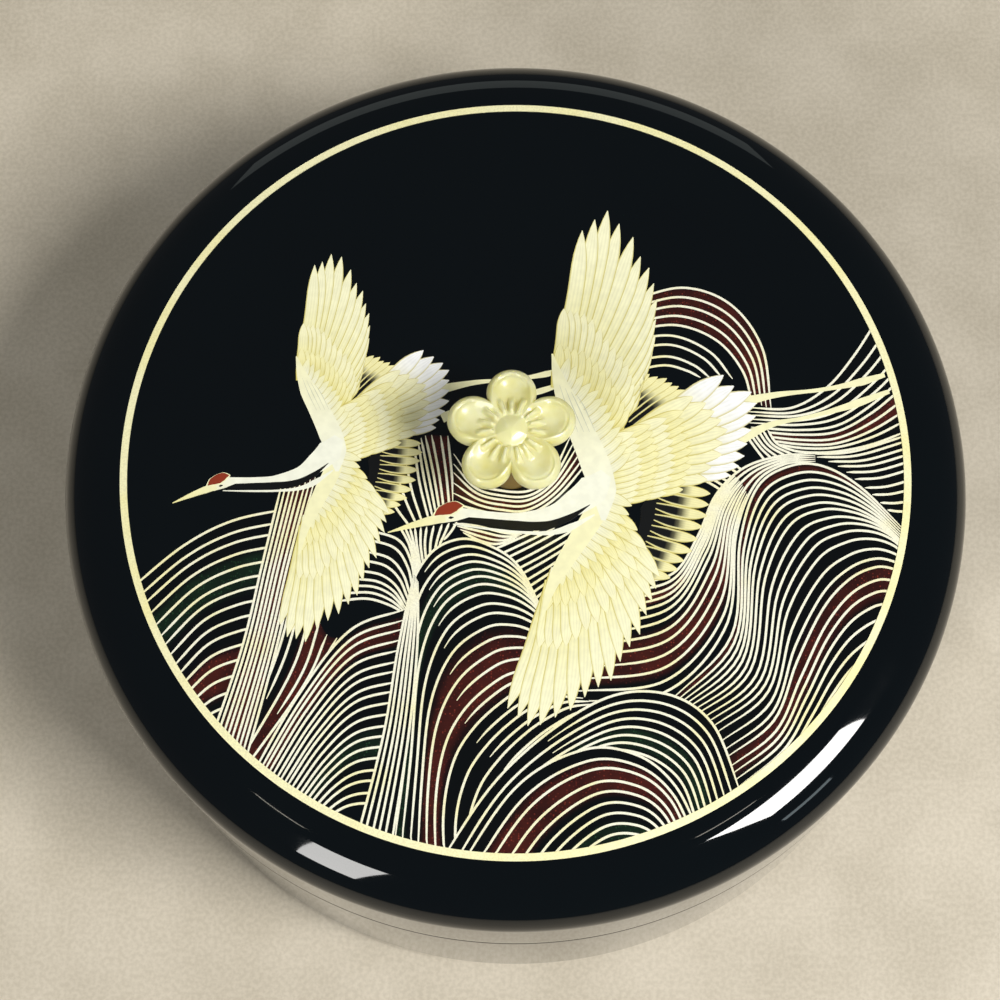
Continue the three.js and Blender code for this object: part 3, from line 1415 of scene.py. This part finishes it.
@dataclass
class FlyingCrane:
    """A crane flying to the left, one wing up and one down, drawn about its shoulder in millimetres."""

    name: str
    lid_top: float
    shoulder: Point
    seed: int
    scale: float = 1.0
    turn: float = 0.0
    wing_lean: float = 0.0
    wing_stretch: float = 1.0
    leg_turn: float = 0.0
    base_level: float = 0.06
    row_step: float = 0.0018
    tilt: float = 0.0006

    WHITE = srgb(244, 245, 226)
    CREAM = srgb(244, 241, 194)
    BEAK = srgb(243, 236, 168)
    BLACK = srgb(6, 8, 9)
    CROWN = srgb(140, 52, 30)
    SHADE = srgb(214, 205, 128)
    PENCIL = srgb(206, 208, 184)
    TIP_CROWDING = 1.6
    FLIGHT_TAPER = 2.8
    PLAIN_TAPER = 1.6
    QUILL_WIDTH = 0.6
    VANE_GROWTH = 1.4
    TIP_WIDTH = 0.03
    LONGEST_TIP = 0.7
    PALE_TIP = (0.45, 0.25)
    PALE_EDGE = (0.6, 0.2)
    TIP_WARMTH = 1.15

    def build(self, finish: Material) -> bpy.types.Object:
        """Draw the crane from the legs up.

        Args:
            finish: Its ink.

        Returns:
            The finished piece.
        """
        self.layer = InkLayer(self.lid_top)
        self.chance = random.Random(self.seed)
        self.row = 0
        self.draw_legs()
        self.draw_tail()
        self.draw_lower_wing()
        self.draw_upper_wing()
        self.draw_back()
        self.draw_arms()
        self.draw_neck()
        self.draw_head()
        return self.layer.close(self.name, finish)

    def next_level(self) -> float:
        """Level of the next row of feathers, over the rows before it."""
        self.row += 1
        return self.base_level + self.row * self.row_step

    def at(self, point: Point, lean: float = 0.0, stretch: float = 1.0) -> Vector:
        """Put a point of the figure on the lid.

        Args:
            point: The point.
            lean: Degrees that its part turns about the shoulder.
            stretch: How much longer its part is.

        Returns:
            Its spot on the lid.
        """
        spot = Vector(point) * self.scale * stretch
        spot.rotate(Matrix.Rotation(math.radians(self.turn + lean), 2))
        return spot + Vector(self.shoulder)

    def feather(self, root: Vector, tip: Vector, width: float, level: float, plumage: Plumage,
                bend: float, point: float) -> None:
        """Stamp one feather.

        Args:
            root: Where its quill starts.
            tip: Where it ends.
            width: Its full width.
            level: Height of its row.
            plumage: Its colours.
            bend: How far its middle bows to the left of its run, as a share of its length.
            point: How its tip closes: 0.5 is round and 1 is pointed.
        """
        run = tip - root
        side = Vector((-run.y, run.x)).normalized()
        warmth = self.chance.uniform(-0.12, 0.12)
        root_colour, tip_colour = plumage.value
        taper = self.FLIGHT_TAPER if plumage is Plumage.FLIGHT else self.PLAIN_TAPER
        tip_start = 1 - min(self.LONGEST_TIP, taper * width / run.length)
        cells = (14, 10) if plumage is Plumage.DARK else (12, 6)

        def place(along: float, across: float) -> Vector:
            """Lay out the feather, with more of the grid's rows near the tip.

            Args:
                along: Share along it, from 0 to 1.
                across: Share across it, from -1 to 1.

            Returns:
                The spot.
            """
            share = 1 - (1 - along) ** self.TIP_CROWDING
            past = max(0.0, (share - tip_start) / (1 - tip_start))
            root_half = 0.5 * width * min(1.0, self.QUILL_WIDTH + self.VANE_GROWTH * share)
            half = root_half * max(self.TIP_WIDTH, 1 - past**2) ** point
            bow = side * bend * run.length * math.sin(math.pi * share)
            spot = root + run * share + bow + side * across * half
            return Vector((spot.x, spot.y, level - self.tilt * across))

        def tint(along: float, across: float) -> Colour:
            """Colour the feather: a dark one keeps pale edges.

            Args:
                along: Share along it, from 0 to 1.
                across: Share across it, from -1 to 1.

            Returns:
                The colour.
            """
            share = 1 - (1 - along) ** self.TIP_CROWDING
            if plumage is Plumage.DARK:
                pale = 0.0
                for value, (start, soft) in ((share, self.PALE_TIP), (abs(across), self.PALE_EDGE)):
                    pale = max(pale, eased((value - start) / soft))
                return mixed(root_colour, tip_colour, pale)
            return mixed(root_colour, tip_colour, eased(share * self.TIP_WARMTH + warmth))

        self.layer.stamp(cells, place, tint, lined=True)

    def fan(self, roots: Sequence[Point], tips: Sequence[Point], count: int, width: float,
            plumage: Plumage, bend: float = 0.0, point: float = 0.7, wing: bool = False) -> None:
        """Stamp a row of feathers from one curve of roots to one curve of tips.

        Args:
            roots: Points that the roots lie along.
            tips: Points that the tips lie along.
            count: How many feathers.
            width: Full width of each.
            plumage: Their colours.
            bend: How far each bows, as a share of its length.
            point: How each tip closes.
            wing: Whether the row belongs to the raised wing.
        """
        level = self.next_level()
        lean, stretch = (self.wing_lean, self.wing_stretch) if wing else (0.0, 1.0)
        for index in range(count):
            share = index / (count - 1)
            root = self.at(through(roots, share), lean, stretch)
            tip = self.at(through(tips, share), lean, stretch)
            tip = root + (tip - root) * self.chance.uniform(0.96, 1.02)
            self.feather(root, tip, width * self.scale, level, plumage, bend, point)

    def patch(self, path: Sequence[Point], halves: Sequence[float], *colours: Colour,
              wing: bool = False) -> None:
        """Stamp a plain patch along a path of the figure.

        Args:
            path: Points that its middle runs through.
            halves: Half widths, evenly spaced along it.
            colours: Its one colour, or its first and last colours.
            wing: Whether it belongs to the raised wing.
        """
        lean, stretch = (self.wing_lean, self.wing_stretch) if wing else (0.0, 1.0)
        spots = [tuple(self.at(point, lean, stretch)) for point in path]
        self.layer.ribbon(spots, [half * self.scale for half in halves], self.next_level(), colours)

    def draw_legs(self) -> None:
        """Two legs trailing behind the tail, with folded toes."""
        legs = (((19, 10.4), (25.5, 12), (32, 12.8), (37, 13.8), (41, 15)),
                ((20, 5.2), (25, 7.7), (30, 8.8), (36, 10.5), (41.5, 12.6)))
        for path in legs:
            spots = [tuple(self.at(point, self.leg_turn)) for point in path]
            halves = [half * self.scale for half in (0.9, 0.5, 0.26, 0.3, 0.56, 0.3)]
            self.layer.ribbon(spots, halves, self.next_level(), (self.CREAM,))

    def draw_tail(self) -> None:
        """White-tipped tail and the dark tertial feathers on both sides of it."""
        self.patch(((3, 10), (6.4, 11.2), (9.6, 9.6), (11, 8)), (0.3, 2.2, 1.8, 0.3), self.BLACK)
        self.patch(((8.2, 0.6), (9.8, -4), (9, -9), (7, -13)), (0.3, 2.8, 2.6, 0.3), self.BLACK)
        self.fan(((6.6, 7.4), (4.6, 9), (3.2, 10.4)), ((14, 12), (11.4, 14.2), (7.6, 15.6)), 8, 1.35,
                 Plumage.DARK, 0.06, 0.8)
        self.fan(((6, -12.4), (7.6, -9), (9, -5), (9.2, -0.6)),
                 ((10.8, -14), (13.6, -10.8), (15.8, -6.4), (16.6, -2.2)),
                 9, 1.6, Plumage.DARK, -0.03, 0.75)
        self.fan(((10, 1), (11, 4.5), (9, 7)),
                 ((19.4, 0.4), (21.4, 3.6), (22.8, 8), (22.6, 12), (18.6, 14.8)),
                 10, 2.9, Plumage.TAIL, 0.02, 0.85)
        self.fan(((7, 0), (8, 4), (6, 6)), ((16, -0.2), (18.6, 4.6), (18.4, 9), (14.5, 11.8)), 9, 2.6,
                 Plumage.COVERT, 0.02, 0.75)

    def draw_upper_wing(self) -> None:
        """The raised wing: an underlay, flight feathers and two rows of coverts."""
        self.patch(((3, 30), (2.4, 24), (1, 15), (2.4, 7), (3, 1)), (0.3, 2.2, 3.6, 2.6, 1.2),
                   self.SHADE, wing=True)
        self.fan(((4.6, 8.6), (2, 11), (-2, 13.4), (-4.4, 15)),
                 ((7.2, 14.4), (9.2, 19), (9.8, 24.4), (9, 29.6), (6.9, 34.4), (3.2, 39.2), (-0.6, 36.6)),
                 14, 2.3, Plumage.FLIGHT, -0.03, 0.9, wing=True)
        self.fan(((3.4, 8), (0.5, 10.4), (-2.4, 12.6), (-4.5, 14.4)),
                 ((6.6, 12), (5.6, 16.4), (3, 20.6), (-0.4, 24), (-3.2, 25)),
                 13, 1.9, Plumage.COVERT, -0.03, 0.8, wing=True)
        self.fan(((3, 6.4), (0.6, 8.6), (-2, 11), (-4.6, 13)),
                 ((5.6, 9.8), (3.4, 14.2), (0, 18), (-3.8, 19.6)),
                 12, 1.7, Plumage.GOLDEN, -0.03, 0.75, wing=True)

    def draw_lower_wing(self) -> None:
        """The lowered wing: an underlay, flight feathers and two rows of coverts."""
        self.patch(((-5, -27), (-3.6, -22), (-0.4, -14), (2, -7), (3, -1)), (0.3, 2.4, 3.4, 2.8, 1.2),
                   self.SHADE)
        self.fan(((5, -8.5), (2, -11), (-2, -13.4), (-5.4, -15.4)),
                 ((9.6, -14), (8.2, -18.4), (5.4, -23.8), (2, -28.8), (-2.6, -32), (-7.6, -35),
                  (-10.8, -31.6)),
                 16, 2.3, Plumage.FLIGHT, 0.03, 0.9)
        self.fan(((3.8, -7), (0.6, -9.8), (-2.6, -12.2), (-5.4, -14.4)),
                 ((7.8, -10), (5.4, -14.8), (1.8, -19.6), (-2.8, -23.6), (-6.8, -24)),
                 14, 1.9, Plumage.COVERT, 0.03, 0.8)
        self.fan(((3, -5), (0, -8.4), (-2.6, -10.8), (-4.8, -13)),
                 ((6.6, -7.4), (3.4, -12.6), (-1, -17), (-5.8, -18.8)), 12, 1.7, Plumage.GOLDEN, 0.03, 0.75)

    def draw_back(self) -> None:
        """Rows of small golden feathers down the back, the last row nearest the neck."""
        for row in range(4):
            reach = 11.8 - 2.2 * row
            lift = 0.34 * reach
            spread = 5.0 - 0.25 * row
            low, high = lift - spread, lift + spread
            roots = ((reach - 5, low - 1), (reach - 4.2, lift - 1.6), (reach - 5, high - 2))
            tips = ((reach + 1.2, low - 0.6), (reach + 2.4, lift), (reach + 1.2, high + 0.6))
            self.fan(roots, tips, 11, 1.8, Plumage.COVERT if row % 2 else Plumage.GOLDEN)

    def draw_arms(self) -> None:
        """Pale arms along the leading edges of both wings, with a fringe of down and a few pencil lines."""
        self.fan(((1, -2), (-0.4, -6), (-2.6, -9.4), (-4.6, -12.6)),
                 ((6, -4), (3.8, -8.8), (0, -12.8), (-4.8, -16)), 13, 1.7, Plumage.DOWN, 0.02, 0.75)
        self.patch(((-6.5, -20), (-5.2, -15.6), (-3.6, -12.4), (-1.2, -8.4), (1, -4.6), (2, 0)),
                   (0.1, 0.7, 1.1, 1.4, 1.5, 0.2), self.CREAM)
        self.fan(((1.6, 0.4), (-0.4, 5), (-2.4, 9.4), (-4, 13)),
                 ((5.8, 3.6), (3.8, 8.4), (1.4, 12.6), (-2.6, 17.4)),
                 13, 1.7, Plumage.DOWN, -0.02, 0.75, wing=True)
        self.patch(((-4.9, 18), (-4.1, 14.6), (-2.8, 10.8), (-0.8, 6.4), (1, 1.8), (2, -2), (2, -6)),
                   (0.1, 0.8, 1.5, 1.8, 2.0, 1.8, 0.3), self.CREAM, self.WHITE, wing=True)
        for line in range(4):
            shift = 0.8 * line
            self.patch(((-3.9 + shift, 13.4 - 0.5 * line), (-2.8 + shift, 10), (-1.4 + shift, 6.6)),
                       (0.02, 0.07, 0.02), self.PENCIL, wing=True)

    def draw_neck(self) -> None:
        """White breast and neck with the dark stripe below."""
        self.patch(((2.4, 0.6), (0.6, -1.6), (-2, -3.6), (-5, -5), (-9.5, -5.6), (-13.5, -5.3),
                    (-17.4, -4.9)),
                   (0.9, 2.2, 1.8, 1.05, 0.6, 0.5, 0.6), self.WHITE)
        self.patch(((-18, -6.1), (-14, -6.3), (-10, -6.7), (-6, -6.8), (-2.6, -5.6), (0.2, -3.8)),
                   (0.15, 0.5, 0.62, 0.6, 0.42, 0.04), self.BLACK)
        self.patch(((-18.4, -6.6), (-14, -7.2), (-9.5, -7.7), (-5.5, -7.8), (-2.5, -7), (0.8, -5.2)),
                   (0.06, 0.15, 0.17, 0.3, 0.5, 0.1), self.WHITE)

    def draw_head(self) -> None:
        """Face, beak, red crown and eye."""
        self.patch(((-16, -5), (-18, -5.3), (-20, -5.7), (-21.4, -6)), (0.5, 0.85, 0.75, 0.4),
                   self.WHITE, self.CREAM)
        self.patch(((-19.4, -5.8), (-21.4, -6.1), (-24, -6.8), (-27.2, -7.8)), (0.5, 0.62, 0.4, 0.05),
                   self.CREAM, self.BEAK)
        self.patch(((-21.2, -5.6), (-20.2, -4.9), (-19, -4.5), (-17.9, -4.1), (-16.9, -4)),
                   (0.1, 0.72, 0.98, 0.8, 0.12), self.CREAM)
        self.patch(((-20.9, -5.4), (-20.1, -4.8), (-19, -4.4), (-18, -4.05), (-17.1, -4)),
                   (0.05, 0.6, 0.85, 0.68, 0.06), self.CROWN)
        self.patch(((-19, -5.75), (-18.7, -5.7), (-18.3, -5.65)), (0.04, 0.2, 0.04), self.BLACK)


@dataclass(frozen=True)
class SoftLight:
    """Soft rectangular light round the lid, its place in degrees from +X and above the table."""

    name: str
    azimuth: float
    elevation: float
    size: Point
    power: float
    colour: tuple[float, float, float] = DAYLIGHT
    distance: float = 1.0

    def build(self, target: Vector) -> None:
        """Put the light up.

        Args:
            target: What it faces.
        """
        lamp = bpy.data.lights.new(self.name, "AREA")
        lamp.shape = "RECTANGLE"
        lamp.size, lamp.size_y = self.size
        lamp.energy = self.power
        lamp.color = self.colour
        turn, lift = math.radians(self.azimuth), math.radians(self.elevation)
        level = math.cos(lift)
        away = Vector((level * math.cos(turn), level * math.sin(turn), math.sin(lift)))
        made = bpy.data.objects.new(self.name, lamp)
        made.location = target + away * self.distance
        made.rotation_euler = away.to_track_quat("Z", "Y").to_euler()
        bpy.context.scene.collection.objects.link(made)


@dataclass
class Studio:
    """A plain pale table, soft lights and the camera at the photograph's viewing angle."""

    lid_top: float
    camera_distance: float = 0.30056
    camera_elevation: float = 72.53
    camera_roll: float = 0.16
    focal_pixels: float = 2200.0
    picture_pixels: float = 1000.0
    lid_pixel: Point = (515.0, 463.9)
    sensor: float = 36.0
    near_clip: float = 0.01
    table_half: float = 1.6
    room_colour: Colour = (0.92, 0.96, 1.0, 1.0)
    room_strength: float = 0.11

    def lights(self) -> tuple[SoftLight, ...]:
        """Two windows with a low pane, a pale wall and two lamps that show in the lacquer.

        Returns:
            The lights.
        """
        return (
            SoftLight("window", -30, 53, (0.30, 0.34), power=9.6),
            SoftLight("low_pane", -38, 24, (0.16, 0.08), power=0.12, colour=(0.8, 0.95, 1.0)),
            SoftLight("side_window", -122, 39, (0.17, 0.48), power=3.2),
            SoftLight("far_wall", 92, 24, (1.3, 0.35), power=0.7, colour=(0.9, 1.0, 0.95), distance=1.3),
            SoftLight("lamp", -144, 63, (0.10, 0.012), power=0.03, colour=(1.0, 0.95, 0.8)),
            SoftLight("near_lamp", -33, 71, (0.10, 0.012), power=0.03, colour=(1.0, 0.93, 0.8)),
        )

    def build(self) -> None:
        """Make the camera, the table and the lights."""
        self.make_camera()
        self.make_table()
        self.make_world()
        for light in self.lights():
            light.build(Vector((0, 0, self.lid_top)))
        bpy.context.scene.view_settings.view_transform = "Standard"

    def make_camera(self) -> None:
        """Camera that sees the lid's middle at its pixel in the photograph."""
        elevation = math.radians(self.camera_elevation)
        target = Vector((0, 0, self.lid_top))
        away = Vector((0, -math.cos(elevation), math.sin(elevation)))
        forward, right = -away, Vector((1, 0, 0))
        up = right.cross(forward)
        middle = self.picture_pixels / 2
        offset_x, offset_y = self.lid_pixel[0] - middle, self.lid_pixel[1] - middle
        pitch = Matrix.Rotation(math.atan2(offset_y, math.hypot(self.focal_pixels, offset_x)), 3, right)
        forward, up = pitch @ forward, pitch @ up
        yaw = Matrix.Rotation(math.atan2(offset_x, self.focal_pixels), 3, up)
        forward, right = yaw @ forward, yaw @ right
        roll = math.radians(self.camera_roll)
        turned_right = right * math.cos(roll) + up * math.sin(roll)
        turned_up = up * math.cos(roll) - right * math.sin(roll)
        lens = bpy.data.cameras.new("camera")
        lens.sensor_width = self.sensor
        lens.lens = self.sensor * self.focal_pixels / self.picture_pixels
        lens.clip_start = self.near_clip
        camera = bpy.data.objects.new("camera", lens)
        axes = Matrix((turned_right, turned_up, -forward)).transposed()
        camera.matrix_world = Matrix.Translation(target + away * self.camera_distance) @ axes.to_4x4()
        bpy.context.scene.collection.objects.link(camera)
        bpy.context.scene.camera = camera

    def make_table(self) -> None:
        """Table under the box."""
        mesh = bmesh.new()
        bmesh.ops.create_grid(mesh, x_segments=4, y_segments=4, size=self.table_half)
        new_object("table", mesh, TableTop().make())

    def make_world(self) -> None:
        """Dim even light from the room."""
        world = bpy.data.worlds.new("room")
        world.use_nodes = True
        background = world.node_tree.nodes["Background"]
        background.inputs["Color"].default_value = self.room_colour
        background.inputs["Strength"].default_value = self.room_strength
        bpy.context.scene.world = world


def main() -> None:
    """Build every piece in order."""
    logging.basicConfig(level=logging.INFO)
    lid_low, lid_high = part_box("box_lid")
    base_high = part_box("box_base")[1]
    lacquer = BlackLacquer().make()
    gold = GoldPrint().make()
    ring_gold = GoldPrint("ring_print", pale=srgb(255, 250, 200), deep=srgb(254, 246, 180)).make()
    pearl = FeatherPrint().make()
    top = lid_high.z
    pieces = [
        BoxBase(radius=base_high.x, lip_top=base_high.z).build(lacquer),
        BoxLid(radius=lid_high.x, foot=lid_low.z, top=top).build(lacquer),
        BlossomKnob(lid_top=top).build(BlossomResin(top).make()),
        *WaveField(top).build(DustedLacquer().make(), gold),
        GoldRing(top).build(ring_gold),
        FlyingCrane(
            "lid_crane_left", top, shoulder=(-26, 3), seed=5, scale=0.79, turn=7,
            wing_lean=-3, wing_stretch=0.9, leg_turn=-9,
        ).build(pearl),
        FlyingCrane("lid_crane_right", top, shoulder=(10, -2), seed=11).build(pearl),
    ]
    Studio(top).build()
    for piece in pieces:
        LOG.info("%s: %d faces", piece.name, len(piece.data.polygons))


if __name__ == "__main__":
    main()
